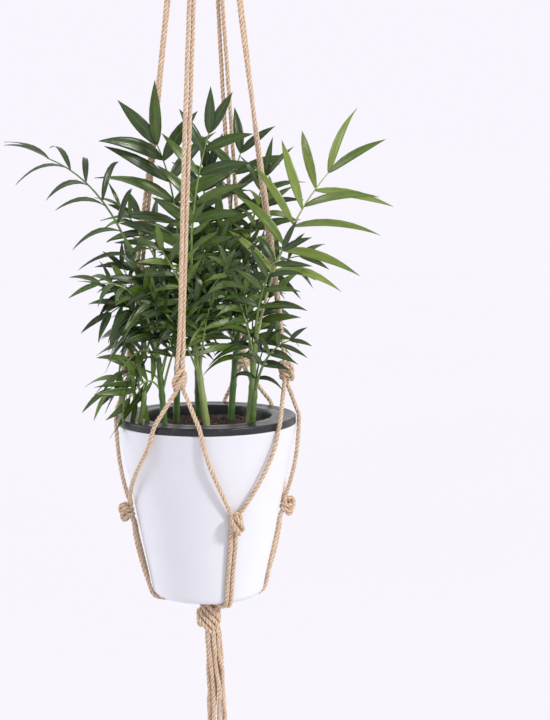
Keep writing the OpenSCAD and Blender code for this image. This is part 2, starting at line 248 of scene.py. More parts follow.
def add_hairs(build, p, count, rng, reach=(2.2, 6.0), thick=0.09, radius=CORD_R, curl=0.8):
    """Loose fibres that stand off a cord."""
    along, side, other = carried(p)
    for _ in range(count):
        i = int(rng.integers(1, len(p) - 1))
        a = rng.uniform(0, 2 * math.pi)
        out = math.cos(a) * side[i] + math.sin(a) * other[i]
        n = rng.uniform(*reach)
        ahead = along[i] * rng.choice([-1, 1]) * rng.uniform(0.5, 1.4)
        swirl = np.cross(along[i], out) * rng.uniform(-curl, curl)
        t = np.linspace(0, 1, 5)[:, None]
        bow = t * unit(ahead + 0.45 * out) + t**2 * (0.35 * swirl + 0.25 * out)
        q = p[i] + out * radius * 0.8 + n * bow
        dirs, s1, s2 = carried(q)
        r = thick * (1 - 0.7 * t[:, 0])
        k = np.arange(3) * 2 * math.pi / 3
        ring = circled(q, s1, s2, r[:, None], k)
        v = np.vstack([[q[0]], ring.reshape(-1, 3), [q[-1] + dirs[-1] * thick]])
        build.add(v, tube_faces(5, 3), np.tile(vec(0.5, 0.5, a * 9), (len(v), 1)), 0.05)


def add_tube(build, p, r, sides, tone, material=0, grain_seed=0.0):
    """A plain closed tube with a radius for each point."""
    along, side, other = carried(p)
    k = np.arange(sides) * 2 * math.pi / sides
    ring = circled(p, side, other, r[:, None], k)
    v = np.vstack([[p[0] - along[0] * r[0] * 0.5], ring.reshape(-1, 3), [p[-1] + along[-1] * r[-1] * 0.5]])
    s = np.concatenate([[0], np.cumsum(np.linalg.norm(np.diff(p, axis=0), axis=1))])
    g = np.stack(
        [
            np.broadcast_to(np.cos(k)[None, :], (len(p), sides)),
            np.broadcast_to(np.sin(k)[None, :], (len(p), sides)),
            np.broadcast_to(s[:, None] + grain_seed, (len(p), sides)),
        ],
        -1,
    ).reshape(-1, 3)
    g = np.vstack([[0, 0, grain_seed], g, [0, 0, grain_seed + s[-1]]])
    build.add(v, tube_faces(len(p), sides), g, tone, material)


def add_lathe(build, profile, sides):
    """A closed solid of revolution.

    The profile runs round the section from the axis back to the axis, or round a closed loop.
    """
    prof = np.array(profile, float)
    closed = prof[0, 0] > 1e-6
    a = np.arange(sides) * 2 * math.pi / sides
    rows, index = [], []
    n = 0
    for r, z in prof:
        if r < 1e-6:
            rows.append(vec(0, 0, z)[None])
            index.append([n] * sides)
            n += 1
        else:
            rows.append(np.stack([r * np.cos(a), r * np.sin(a), np.full(sides, z)], -1))
            index.append(list(range(n, n + sides)))
            n += sides
    faces = []
    for i in range(len(prof) if closed else len(prof) - 1):
        p, q = index[i], index[(i + 1) % len(prof)]
        for k in range(sides):
            m = (k + 1) % sides
            f = [p[k], p[m], q[m], q[k]]
            f = [x for j, x in enumerate(f) if x != f[j - 1]]
            if len(f) > 2:
                faces.append(tuple(f))
    v = np.vstack(rows)
    build.add(v, faces, v.copy(), 0.0)


def arc(cx, cz, r, a0, a1, n):
    """Points of a profile along an arc between two angles in degrees."""
    angles = [math.radians(a) for a in np.linspace(a0, a1, n)]
    return [(cx + r * math.cos(a), cz + r * math.sin(a)) for a in angles]


# ---- Materials ----
def material(name):
    m = bpy.data.materials.new(name)
    m.use_nodes = True
    t = m.node_tree
    t.nodes.clear()
    out = t.nodes.new("ShaderNodeOutputMaterial")
    b = t.nodes.new("ShaderNodeBsdfPrincipled")
    t.links.new(b.outputs[0], out.inputs[0])
    return m, t, b


def node(t, kind, inputs=None, **settings):
    n = t.nodes.new("ShaderNode" + kind)
    for k, v in settings.items():
        setattr(n, k, v)
    for k, v in (inputs or {}).items():
        if isinstance(v, bpy.types.NodeSocket):
            t.links.new(v, n.inputs[k])
        else:
            n.inputs[k].default_value = v
    return n


def ramp(t, fac, stops):
    n = t.nodes.new("ShaderNodeValToRGB")
    t.links.new(fac, n.inputs[0])
    e = n.color_ramp.elements
    while len(e) < len(stops):
        e.new(0.5)
    for x, (at, c) in zip(e, stops):
        x.position = at
        x.color = (*c, 1) if hasattr(c, "__len__") else (c, c, c, 1)
    return n.outputs[0]


def blend_colour(t, fac, a, b, mode="MIX"):
    n = t.nodes.new("ShaderNodeMix")
    n.data_type, n.blend_type = "RGBA", mode
    for i, x in ((0, fac), (6, a), (7, b)):
        if isinstance(x, bpy.types.NodeSocket):
            t.links.new(x, n.inputs[i])
        elif i == 0:
            n.inputs[i].default_value = x
        else:
            n.inputs[i].default_value = (*x, 1)
    return n.outputs[2]


def maths(t, op, a, b=0.0, clamp=False):
    n = node(t, "Math", operation=op, use_clamp=clamp)
    for i, x in ((0, a), (1, b)):
        if isinstance(x, bpy.types.NodeSocket):
            t.links.new(x, n.inputs[i])
        else:
            n.inputs[i].default_value = x
    return n.outputs[0]


def attribute(t, name, out="Vector"):
    return node(t, "Attribute", attribute_name=name).outputs[out]


def noise_at(t, vector, scale, detail=3.0, rough=0.55):
    inputs = {"Vector": vector, "Scale": scale, "Detail": detail, "Roughness": rough}
    return node(t, "TexNoise", inputs).outputs[0]


def scaled(t, vector, x, y, z):
    return node(t, "Mapping", {"Vector": vector, "Scale": (x, y, z)}).outputs[0]


def bump(t, b, height, strength, distance):
    n = node(t, "Bump", {"Height": height, "Strength": strength, "Distance": distance})
    t.links.new(n.outputs[0], b.inputs["Normal"])


def jute_material(name, light, mid, dark):
    """Spun jute: pale and brown fibres along each ply, with painted shade darkening the grooves between the
    plies.
    """
    m, t, b = material(name)
    grain, groove = attribute(t, "grain"), attribute(t, "tone", "Fac")
    fibres = noise_at(t, scaled(t, grain, 2.6, 2.6, 0.42), 1.0, 4.0, 0.62)
    streaks = noise_at(t, scaled(t, grain, 1.1, 1.1, 0.13), 1.0, 2.0, 0.5)
    colour = ramp(t, fibres, [(0.26, dark), (0.42, mid), (0.60, light)])
    warm = ramp(t, streaks, [(0.34, (0.80, 0.72, 0.62)), (0.62, (1.06, 1.03, 1.0))])
    colour = blend_colour(t, 1.0, colour, warm, "MULTIPLY")
    # Painted shade: the deeper a point lies in a groove between plies, the more its colour is darkened
    # towards deep brown.
    deep = maths(t, "MULTIPLY", maths(t, "POWER", groove, 2.2), 0.68, True)
    colour = blend_colour(t, deep, colour, tuple(c * 0.42 for c in dark))
    t.links.new(colour, b.inputs["Base Color"])
    rough = ramp(t, fibres, [(0.3, 0.95), (0.7, 0.78)])
    t.links.new(rough, b.inputs["Roughness"])
    b.inputs["Specular IOR Level"].default_value = 0.25
    b.inputs["Sheen Weight"].default_value = 0.12
    b.inputs["Sheen Roughness"].default_value = 0.6
    bump(t, b, maths(t, "SUBTRACT", fibres, maths(t, "MULTIPLY", groove, 0.35)), 0.75, 0.0005)
    return m


def pot_material():
    """Satin white moulded plastic, with the faintest mottling."""
    m, t, b = material("satin_white")
    p = attribute(t, "grain")
    fine = noise_at(t, p, 1.4, 3.0)
    broad = noise_at(t, p, 0.03, 2.0)
    white = ramp(t, broad, [(0.3, (0.765, 0.775, 0.835)), (0.7, (0.785, 0.792, 0.845))])
    t.links.new(white, b.inputs["Base Color"])
    t.links.new(ramp(t, fine, [(0.3, 0.34), (0.7, 0.44)]), b.inputs["Roughness"])
    b.inputs["Specular IOR Level"].default_value = 0.42
    bump(t, b, fine, 0.06, 0.0002)
    return m


def liner_material():
    """Dark grey moulded plastic with fine turning marks, scuffs and dust."""
    m, t, b = material("grey_plastic")
    p = attribute(t, "grain")
    fine = noise_at(t, p, 1.1, 4.0)
    dust = noise_at(t, p, 0.12, 5.0, 0.65)
    shades = [(0.30, (0.008, 0.008, 0.010)), (0.58, (0.016, 0.016, 0.020)), (0.80, (0.075, 0.072, 0.076))]
    colour = ramp(t, dust, shades)
    t.links.new(colour, b.inputs["Base Color"])
    t.links.new(ramp(t, dust, [(0.35, 0.26), (0.75, 0.5)]), b.inputs["Roughness"])
    b.inputs["Specular IOR Level"].default_value = 0.5
    bump(t, b, fine, 0.22, 0.0003)
    return m


def soil_material():
    """Damp potting soil: dark crumbs with red-brown and pale bits."""
    m, t, b = material("soil")
    p = attribute(t, "grain")
    crumbs = node(t, "TexVoronoi", {"Vector": p, "Scale": 0.42}, feature="F1")
    grit = noise_at(t, p, 1.6, 5.0, 0.7)
    shades = [(0.15, (0.018, 0.009, 0.007)), (0.55, (0.062, 0.027, 0.017)), (0.92, (0.17, 0.080, 0.05))]
    colour = ramp(t, crumbs.outputs["Color"], shades)
    colour = blend_colour(t, 1.0, colour, ramp(t, grit, [(0.3, 0.45), (0.75, 1.3)]), "MULTIPLY")
    t.links.new(colour, b.inputs["Base Color"])
    t.links.new(ramp(t, grit, [(0.3, 0.95), (0.7, 0.72)]), b.inputs["Roughness"])
    height = maths(t, "SUBTRACT", grit, maths(t, "MULTIPLY", crumbs.outputs["Distance"], 0.4))
    bump(t, b, height, 0.9, 0.002)
    return m


def steel_material():
    """Plated steel wire: fine drawn lines and a little wear."""
    m, t, b = material("plated_steel")
    p = attribute(t, "grain")
    lines = noise_at(t, scaled(t, p, 5.0, 5.0, 0.3), 1.0, 3.0)
    worn = noise_at(t, p, 0.25, 4.0)
    grey = ramp(t, worn, [(0.35, (0.55, 0.54, 0.52)), (0.65, (0.74, 0.73, 0.71))])
    t.links.new(grey, b.inputs["Base Color"])
    t.links.new(ramp(t, lines, [(0.3, 0.24), (0.7, 0.40)]), b.inputs["Roughness"])
    b.inputs["Metallic"].default_value = 1.0
    bump(t, b, lines, 0.15, 0.0002)
    return m


def leaf_material():
    """Glossy palm leaflet: parallel veins, a paler midrib, and tones from deep green to yellow-green."""
    m, t, b = material("palm_leaf")
    grain, tone = attribute(t, "grain"), attribute(t, "tone", "Fac")
    axes = node(t, "SeparateXYZ", {0: grain}).outputs
    blotch = noise_at(t, scaled(t, grain, 5.0, 1.2, 9.0), 1.0, 3.0)
    veins = maths(t, "SINE", maths(t, "MULTIPLY", axes[1], 26.0))
    greens = [
        (0.0, (0.005, 0.013, 0.001)), (0.35, (0.024, 0.056, 0.003)),
        (0.65, (0.100, 0.168, 0.012)), (1.0, (0.28, 0.37, 0.075)),
    ]
    colour = ramp(t, tone, greens)
    mottle = ramp(t, blotch, [(0.25, (0.72, 0.76, 0.70)), (0.75, (1.25, 1.2, 1.1))])
    colour = blend_colour(t, 1.0, colour, mottle, "MULTIPLY")
    stripe = maths(t, "MULTIPLY", maths(t, "ADD", maths(t, "MULTIPLY", veins, 0.5), 0.5), 0.16)
    colour = blend_colour(t, stripe, colour, (0.10, 0.20, 0.05))
    rib = maths(t, "SUBTRACT", 1.0, maths(t, "MULTIPLY", maths(t, "ABSOLUTE", axes[1]), 9.0), True)
    colour = blend_colour(t, maths(t, "MULTIPLY", rib, 0.45), colour, (0.16, 0.28, 0.07))
    tip = maths(t, "MULTIPLY", maths(t, "SUBTRACT", axes[0], 0.955, True), 18.0, True)
    colour = blend_colour(t, maths(t, "MULTIPLY", tip, 0.7), colour, (0.20, 0.12, 0.035))
    t.links.new(colour, b.inputs["Base Color"])
    t.links.new(ramp(t, blotch, [(0.3, 0.22), (0.7, 0.40)]), b.inputs["Roughness"])
    b.inputs["Specular IOR Level"].default_value = 0.62
    bump(t, b, maths(t, "ADD", maths(t, "MULTIPLY", veins, 0.3), blotch), 0.25, 0.0004)
    return m


def cane_material():
    """Palm cane and stalk: green, with fine lines along it and brownish flecks."""
    m, t, b = material("palm_cane")
    grain, tone = attribute(t, "grain"), attribute(t, "tone", "Fac")
    lines = noise_at(t, scaled(t, grain, 4.0, 4.0, 0.05), 1.0, 3.0)
    flecks = noise_at(t, scaled(t, grain, 2.0, 2.0, 0.25), 1.0, 4.0)
    greens = [
        (0.0, (0.022, 0.060, 0.016)), (0.5, (0.085, 0.170, 0.040)),
        (0.8, (0.25, 0.36, 0.11)), (1.0, (0.46, 0.50, 0.24)),
    ]
    colour = ramp(t, tone, greens)
    grooves = ramp(t, lines, [(0.3, (0.75, 0.78, 0.7)), (0.7, (1.2, 1.16, 1.1))])
    colour = blend_colour(t, 1.0, colour, grooves, "MULTIPLY")
    colour = blend_colour(t, ramp(t, flecks, [(0.60, 0.0), (0.72, 0.55)]), colour, (0.16, 0.10, 0.04))
    t.links.new(colour, b.inputs["Base Color"])
    t.links.new(ramp(t, flecks, [(0.3, 0.36), (0.7, 0.55)]), b.inputs["Roughness"])
    bump(t, b, lines, 0.3, 0.0004)
    return m


def floor_material():
    """Matt, pale paper floor."""
    m, t, b = material("studio_floor")
    p = node(t, "TexCoord").outputs["Object"]
    broad = noise_at(t, p, 0.6, 2.0)
    pale = ramp(t, broad, [(0.3, (0.770, 0.750, 0.812)), (0.7, (0.778, 0.757, 0.820))])
    t.links.new(pale, b.inputs["Base Color"])
    t.links.new(ramp(t, noise_at(t, p, 30.0), [(0.3, 0.85), (0.7, 0.95)]), b.inputs["Roughness"])
    b.inputs["Specular IOR Level"].default_value = 0.0
    return m


JUTE = jute_material("jute", (0.98, 0.83, 0.68), (0.71, 0.52, 0.378), (0.36, 0.225, 0.135))
KNOT_JUTE = jute_material("jute_knot", (0.97, 0.81, 0.65), (0.69, 0.50, 0.355), (0.33, 0.205, 0.12))
POT, LINER, SOIL, STEEL = pot_material(), liner_material(), soil_material(), steel_material()
LEAF, CANE = leaf_material(), cane_material()


def piece(build, name, materials, body, nodes):
    """Makes one object with these materials, that rides on a body and stands for CAD nodes."""
    obj = build.make(name, materials)
    if body:
        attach(obj, body)
    if nodes:
        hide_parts(*nodes)
    return obj


# ---- Camera ----
def turned(v, axis, degrees):
    return np.array(Matrix.Rotation(math.radians(degrees), 3, Vector(axis)) @ Vector(v))


def add_camera():
    """Camera in front of the pot and a little above it. Angles are degrees, the distance is metres."""
    distance, elevation, yaw, pitch, roll = 1.6, 11.15, -2.22, 3.86, -0.18
    elevation, roll = math.radians(elevation), math.radians(roll)
    back = vec(0, -math.cos(elevation), math.sin(elevation))
    eye = vec(0, 0, (RIM_Z - 60) * MM) + distance * back
    ahead, right = turned(-back, (0, 0, 1), yaw), turned((1, 0, 0), (0, 0, 1), yaw)
    ahead = turned(ahead, right, pitch)
    up = np.cross(right, ahead)
    right, up = right * math.cos(roll) + up * math.sin(roll), up * math.cos(roll) - right * math.sin(roll)
    data = bpy.data.cameras.new("camera")
    data.lens, data.sensor_width = 89.1, 36.0
    cam = bpy.data.objects.new("camera", data)
    bpy.context.scene.collection.objects.link(cam)
    cam.matrix_world = Matrix([[right[i], up[i], -ahead[i], eye[i]] for i in range(3)] + [[0, 0, 0, 1]])
    bpy.context.scene.camera = cam


add_camera()

# ---- Tassel: the eight free ends ----
TASSEL_LINE = [
    (4, 0, 0), (4.2, 0, -8), (4.6, -0.2, -17), (5.2, -0.4, -27), (6, -0.4, -37), (6.6, -0.2, -47),
    (7, 0.2, -57), (7, 0.6, -67), (6.8, 0.8, -77), (6.4, 0.8, -87), (6.2, 0.6, -97), (6.2, 0.2, -107),
    (6.4, 0, -117), (6.8, -0.2, -127), (7.2, -0.2, -137),
]
STRAND_EXTRA = [8, 2, 11, 5, 0, 9, 4, 12]
TASSEL_SPREAD, TASSEL_TURN = 2.6, 40.0


def strand_route(i):
    last = len(TASSEL_LINE) - 1
    line = list(TASSEL_LINE) + [(7.2, -0.2, -137 - STRAND_EXTRA[i])]
    route = []
    for k in range(last + (2 if STRAND_EXTRA[i] > 3 else 1)):
        r = BUNDLE_R + TASSEL_SPREAD * k / last
        wave = 0.9 * math.sin(k * (0.9 + 0.08 * i) + i * 2.1) * min(1, k / 3)
        place = polar(45 * i + TASSEL_TURN * k / last + 5 * wave, r + wave)
        route.append(vec(0, 0, TASSEL_TOP) + vec(*line[k]) + place)
    inside = vec(1.5, 0, BASE_Z - 4) + polar(45 * i - 10, BUNDLE_R * 0.8)
    return [inside, mix(inside, route[0], 0.55)] + route


rng = np.random.default_rng(11)
fibres = Build()
for i in range(8):
    build = Build()
    line = add_rope(build, strand_route(i), phase=i * 1.3, seed=20 + i, ends=(1, 1.12), lay=12.5)
    strand = piece(build, f"tassel_rope_{i + 1}", [JUTE], "tassel", [f"tassel_strand_{i + 1}"])
    length = float(np.linalg.norm(np.diff(line, axis=0), axis=1).sum()) * MM
    add_hairs(fibres, line[12:], 34, rng)
    add_hairs(fibres, line[-9:], 22, rng, reach=(3, 7), thick=0.11)
piece(fibres, "tassel_fibres", [JUTE], "tassel", [])

# ---- Ring, its loops and the wrapped gathering ----
build = Build()
angles = np.linspace(0, 2 * math.pi, 25)[:-1]
circle = [(RING_R + RING_WIRE / 2 * math.cos(x), RING_WIRE / 2 * math.sin(x)) for x in angles]
add_lathe(build, circle, 160)
build.v = [np.stack([v[:, 0], v[:, 2], v[:, 1] + RING_Z], -1) for v in build.v]
build.f = [tuple(reversed(f)) for f in build.f]
g = build.grain[0]
along_wire = np.arctan2(g[:, 1], g[:, 0]) * RING_R
build.grain = [np.stack([np.hypot(g[:, 0], g[:, 1]) - RING_R, g[:, 2], along_wire], -1)]
piece(build, "steel_ring", [STEEL], "ring", ["hanging_ring"])


def on_ring(a, out, y):
    """A point at an angle from the ring's lowest point, so far inside the wire's centre line."""
    a = math.radians(a)
    return vec((RING_R - out) * math.sin(a), y, RING_Z - (RING_R - out) * math.cos(a))


for i in range(4):
    a = (i - 1.5) * FOLD_STEP
    back = polar(157.5 - 45 * i, BUNDLE_R, WRAP_TOP + 1)
    deep = polar(157.5 - 45 * i, BUNDLE_R * 0.72, WRAP_TOP - 6)
    flip, drop = vec(1, -1, 1), vec(0, 0, 2)
    halfway = [math.pi * k / 8 for k in range(9)]
    side = [on_ring(a, FOLD_R * math.sin(x), FOLD_R * math.cos(x)) for x in halfway]
    pts = [deep, back, mix(back, side[0] - drop, 0.55), *side]
    pts += [mix(back * flip, side[8] - drop, 0.55), back * flip, deep * flip]
    build = Build()
    line = add_rope(build, pts, phase=i * 2.0, seed=40 + i)
    add_hairs(build, line, 26, rng)
    piece(build, f"loop_rope_{i + 1}", [JUTE], "neck", [f"ring_loop_{i + 1}"])

build = Build()
pts, coil_r, pitch = [], WRAP_R - CORD_R, 3.85
z0, z1 = WRAP_TOP - 2.1, NECK_Z - 6.6
turns = (z0 - z1) / pitch
steps = int(turns * 20)
for k in range(steps + 1):
    t = k / steps
    z = mix(z0, z1, t)
    r = coil_r - 1.3 * ease(0, 1, (NECK_Z + 1 - z) / 8)
    wob = 0.18 * math.sin(k * 0.37)
    pts.append(polar(-60 + 360 * turns * t, r + wob * 0.5, z + wob))
tuck_in = [polar(-98, coil_r - 4.2, z0 - 3), polar(-82, coil_r - 1.6, z0 - 0.8)]
end = -60 + 360 * turns
pts = tuck_in + pts + [polar(end + 16, coil_r - 2.6, z1), polar(end + 34, coil_r - 4.6, z1 + 2.5)]
line = add_rope(build, pts, phase=0.4, seed=50)
add_hairs(build, line, 120, rng)
piece(build, "wrap_rope", [KNOT_JUTE], "neck", ["gathering_wrap"])


# ---- Arms, net and under-cords ----
def arm_axis(i):
    """Direction up an arm."""
    top, knot = polar(ARM_AZ[i], BUNDLE_R, ARM_TOP), polar(ARM_AZ[i], UPPER_R, UPPER_Z)
    return unit(top - knot)


# Each arm's two cords: how far they are turned and wind round each other, and the gap between them
ARM_TURN = [52, 20, -8, -26]
ARM_WAVE = [16, 30, 10, 26]
ARM_GAP = [0.0, 0.0, 0.9, 0.05]
# Half the angle between an arm's two cords where they leave the gathering
ARM_SPLAY = 21


def arm_route(i, s):
    top0 = polar(ARM_AZ[i] - ARM_SPLAY, BUNDLE_R + 0.6, ARM_TOP)
    top1 = polar(ARM_AZ[i] + ARM_SPLAY, BUNDLE_R + 0.6, ARM_TOP)
    end = polar(ARM_AZ[i], UPPER_R, UPPER_Z + KNOT_H / 2 - 4)
    start, axis = (top0 + top1) / 2, arm_axis(i)
    tangent = polar(ARM_AZ[i] + 90, 1)
    az = ARM_AZ[i] + s * ARM_SPLAY
    pts = [polar(az, BUNDLE_R * 0.78, ARM_TOP + 7), polar(az, BUNDLE_R, ARM_TOP + 2.5)]
    for t in np.linspace(0, 1, 25):
        hold = ease(0, 0.10, t) * (1 - ease(0.93, 1, t))
        angle = (ARM_TURN[i] + ARM_WAVE[i] * math.sin(2 * math.pi * (1.35 * t + 0.2 * i))) * hold
        half = (CORD_R + 0.12 + ARM_GAP[i] * hold * (0.7 + 0.5 * math.sin(9 * t + i))) * s
        drift = 0.35 * hold * vec(math.sin(7 * t + i), math.sin(5 * t + 2 * i), 0)
        pts.append(mix(start, end, t) + half * turned(tangent, axis, angle) + drift)
    centre, aside = polar(ARM_AZ[i], UPPER_R, UPPER_Z), s * CORD_R * tangent
    return pts + [centre + axis * 2 + 0.75 * aside, centre - axis * 3 + 0.4 * aside]


def net_turn(arm, side):
    d = side - arm
    return d - 360 if d > 180 else d + 360 if d < -180 else d


def pot_r_at(z):
    return mix(POT_D / 2, POT_BASE_D / 2, (POT_TOP - z) / (POT_H - POT_EDGE_R))


# Each leg's share of its sideways run that is done where it crosses the rim
RIM_SHARE = [0.23, 0.35, 0.42, 0.35, 0.35, 0.35, 0.35, 0.35]


def net_route(i, j):
    turn = net_turn(ARM_AZ[i], SIDE_AZ[j])
    s = math.copysign(1, turn)
    start = polar(ARM_AZ[i], UPPER_R, UPPER_Z - KNOT_H / 2 + 3) + s * polar(ARM_AZ[i] + 90, CORD_R + 0.15)
    share = RIM_SHARE[2 * i + (s > 0)]
    over = polar(ARM_AZ[i] + turn * share, FLANGE_D / 2 + CORD_R + GAP + 0.4, RIM_Z + 1.2)
    top, low = POT_TOP - 1, LOWER_Z + KNOT_H / 2 - 4
    az0, az1 = ARM_AZ[i] + turn * (share + 0.04), ARM_AZ[i] + turn - s * 2.4
    pts = [polar(ARM_AZ[i], UPPER_R, UPPER_Z + 1) + s * 0.6 * polar(ARM_AZ[i] + 90, CORD_R),
           start, mix(start, over, 0.35), mix(start, over, 0.7), over]
    for k in range(10):
        t = k / 9
        z = mix(top, low, t)
        out = CORD_R + GAP + 2.5 * math.sin(math.pi * t) + 1.6 * t
        pts.append(polar(mix(az0, az1, t**1.4), pot_r_at(z) + out, z))
    return pts + [lower_centre(j) + s * -0.6 * polar(SIDE_AZ[j] + 90, CORD_R)]


def lower_centre(j):
    return polar(SIDE_AZ[j], pot_r_at(LOWER_Z) + KNOT_R / math.cos(math.radians(SLOPE)) + GAP, LOWER_Z)


def under_route(j, s):
    az = SIDE_AZ[j]
    off = polar(az + 90, s * (CORD_R + 0.15))
    low = LOWER_Z - KNOT_H / 2 + 4
    bend_r, edge_in = POT_EDGE_R + CORD_R + GAP, POT_BASE_D / 2 - POT_EDGE_R
    pts = [lower_centre(j) + off * 0.6]
    for t in (0, 0.25, 0.5, 0.75):
        z = mix(low, EDGE_Z, t)
        up = 2.6 * math.sin(math.pi * (0.15 + 0.8 * t)) if s > 0 and j in (1, 3) else 0
        pts.append(off + polar(az, pot_r_at(z) + CORD_R + GAP + 1.6 * (1 - t) + up, z))
    for k in range(5):
        a = math.radians(mix(-SLOPE, -90, k / 4))
        pts.append(off + polar(az, edge_in + bend_r * math.cos(a), EDGE_Z + bend_r * math.sin(a)))
    z = POT_BOTTOM - CORD_R - 3
    return pts + [off + polar(az, edge_in - 12, POT_BOTTOM - CORD_R - 1.2),
                  mix(off + polar(az, 16, z), polar(az + s * 20, 16, z), 0.5),
                  polar(az + s * 20, BUNDLE_R, BASE_Z + BASE_KNOT_H / 2 - 4),
                  polar(az + s * 20, BUNDLE_R * 0.9, BASE_Z + 3)]


for i in range(4):
    for k, s in enumerate((-1, 1)):
        n = 2 * i + k + 1
        build = Build()
        line = add_rope(build, arm_route(i, s), phase=n * 0.9, seed=n)
        add_hairs(build, line, 90, rng, reach=(1.6, 4.2), thick=0.07)
        arm = piece(build, f"arm_rope_{n}", [JUTE], None, [f"arm_cord_{n}"])
        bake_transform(arm)
        build = Build()
        line = add_rope(build, net_route(i, (i + 3) % 4 if s < 0 else i), phase=n * 1.7, seed=60 + n)
        add_hairs(build, line, 26, rng, reach=(1.6, 4.2), thick=0.07)
        piece(build, f"net_rope_{n}", [JUTE], "hanger", [f"net_cord_{n}"])
        build = Build()
        line = add_rope(build, under_route(i, s), phase=n * 2.3, seed=80 + n)
        add_hairs(build, line, 20, rng, reach=(1.6, 4.0), thick=0.07)
        piece(build, f"under_rope_{n}", [JUTE], "hanger", [f"under_cord_{n}"])


# ---- Knots ----
def add_knot(build, centre, axis, out, radius, wraps, rise, sweep, tilt, start, seed, crossing, height, span):
    """An overhand knot, whose strands are tucked in at both ends.

    The wraps lie side by side, and each goes round by sweep degrees and climbs by rise. The crossing
    strands run over them from height to -height within span degrees.
    """
    x = unit(out - axis * (out @ axis))
    y = np.cross(axis, x)
    pitch, thick = CORD_D * 1.03, CORD_D * 1.04

    def at(angle, r, z):
        a = math.radians(angle)
        return centre + r * (math.cos(a) * x + math.sin(a) * y) + z * axis

    run, drop = radius * math.radians(span), 2 * height
    for m in range(crossing):
        off = (m - (crossing - 1) / 2) * pitch
        slide, lift = off * drop / math.hypot(run, drop), off * run / math.hypot(run, drop)
        pts = []
        for t in np.linspace(-0.22, 1.22, 9):
            tuck = 1 - ease(0.0, 0.22, -t) if t < 0.5 else 1 - ease(1.0, 1.22, t)
            r = mix(radius * 0.35, radius + 0.9 + 1.3 * math.sin(math.pi * np.clip(t, 0, 1)), tuck)
            angle = -span / 2 + span * t + math.degrees(slide / radius)
            pts.append(at(angle, r, (height - drop * np.clip(t, -0.08, 1.08) + lift) * mix(0.75, 1, tuck)))
        line = add_rope(build, pts, phase=m * 0.9 + seed * 2, seed=seed * 5 + m, step=1.05, d=thick)
        add_hairs(build, line, 8, rng, reach=(1.4, 3.6), thick=0.07)
    for m in range(wraps):
        off = (m - (wraps - 1) / 2) * pitch
        pts = []
        n = int(sweep / 18)
        for k in range(n + 1):
            t = k / n
            angle = start + sweep * t
            z = off + rise * (t - 0.5) + tilt * math.cos(math.radians(angle - start - 70))
            swell = 1 + 0.035 * math.sin(6.2 * t + m + seed)
            pts.append(at(angle, radius * swell - 0.3 * abs(off) / wraps, z))
        end = start + sweep
        z0 = off - rise / 2 + tilt * math.cos(math.radians(-70))
        z1 = off + rise / 2 + tilt * math.cos(math.radians(sweep - 70))
        pts = [at(start - 62, radius * 0.35, z0 * 0.6 - 1), at(start - 26, radius * 0.72, z0 - 0.4)] + pts
        pts += [at(end + 26, radius * 0.72, z1 + 0.4), at(end + 62, radius * 0.35, z1 * 0.6 + 1)]
        line = add_rope(build, pts, phase=m * 1.1 + seed, seed=seed * 3 + m, step=1.05, d=thick)
        add_hairs(build, line, 16, rng, reach=(1.4, 3.6), thick=0.07)


for i in range(4):
    build = Build()
    add_knot(
        build, polar(ARM_AZ[i], UPPER_R, UPPER_Z), arm_axis(i), polar(ARM_AZ[i], 1),
        radius=KNOT_R - CORD_R - 0.7, wraps=2, rise=7.6, sweep=400, tilt=2.6, start=150 + 25 * i,
        seed=2 + i, crossing=2, height=6.2, span=84 if i % 2 else -84,
    )
    piece(build, f"upper_knot_rope_{i + 1}", [KNOT_JUTE], "hanger", [f"upper_knot_{i + 1}"])
    build = Build()
    up = polar(SIDE_AZ[i], math.sin(math.radians(SLOPE)), math.cos(math.radians(SLOPE)))
    add_knot(
        build, lower_centre(i), up, polar(SIDE_AZ[i], 1),
        radius=KNOT_R - CORD_R - 0.7, wraps=2, rise=7.4, sweep=400, tilt=2.4, start=100 - 30 * i,
        seed=7 + i, crossing=2, height=6.0, span=-80 if i % 2 else 80,
    )
    piece(build, f"lower_knot_rope_{i + 1}", [KNOT_JUTE], "hanger", [f"lower_knot_{i + 1}"])
build = Build()
add_knot(
    build, vec(0, 0, BASE_Z), vec(0, 0, 1), vec(0, -1, 0),
    radius=BASE_KNOT_D / 2 - CORD_R - 1.2, wraps=3, rise=9.5, sweep=410, tilt=4.2, start=60,
    seed=13, crossing=4, height=8.2, span=70,
)
piece(build, "base_knot_rope", [KNOT_JUTE], "hanger", ["base_knot"])

# ---- Pot, liner and soil ----
build = Build()
inner_edge = POT_EDGE_R - POT_WALL + 0.5
low_out, low_in = POT_BASE_D / 2 - POT_EDGE_R, POT_BASE_D / 2 - POT_WALL - inner_edge
outside = [(r, POT_BOTTOM) for r in (0, 12, 24, 34)]
outside += arc(low_out, EDGE_Z, POT_EDGE_R, -90, -SLOPE * 0.6, 10)
wall = [(mix(POT_BASE_D / 2, POT_D / 2, t), mix(EDGE_Z, POT_TOP, t)) for t in np.linspace(0.03, 0.985, 24)]
lip = arc(POT_D / 2 - POT_WALL / 2 - 0.05, POT_TOP - 1.2, 1.2, 0, 180, 7)
down = np.linspace(0.03, 0.97, 12)
inside = [(mix(POT_D / 2, POT_BASE_D / 2, t) - POT_WALL, mix(POT_TOP, EDGE_Z, t)) for t in down]
inside += arc(low_in, POT_BOTTOM + POT_WALL + inner_edge, inner_edge, 0, -90, 6)
inside += [(20, POT_BOTTOM + POT_WALL), (0, POT_BOTTOM + POT_WALL)]
add_lathe(build, outside + wall + lip + inside, 192)
piece(build, "pot_shell", [POT], "hanger", ["outer_pot"])

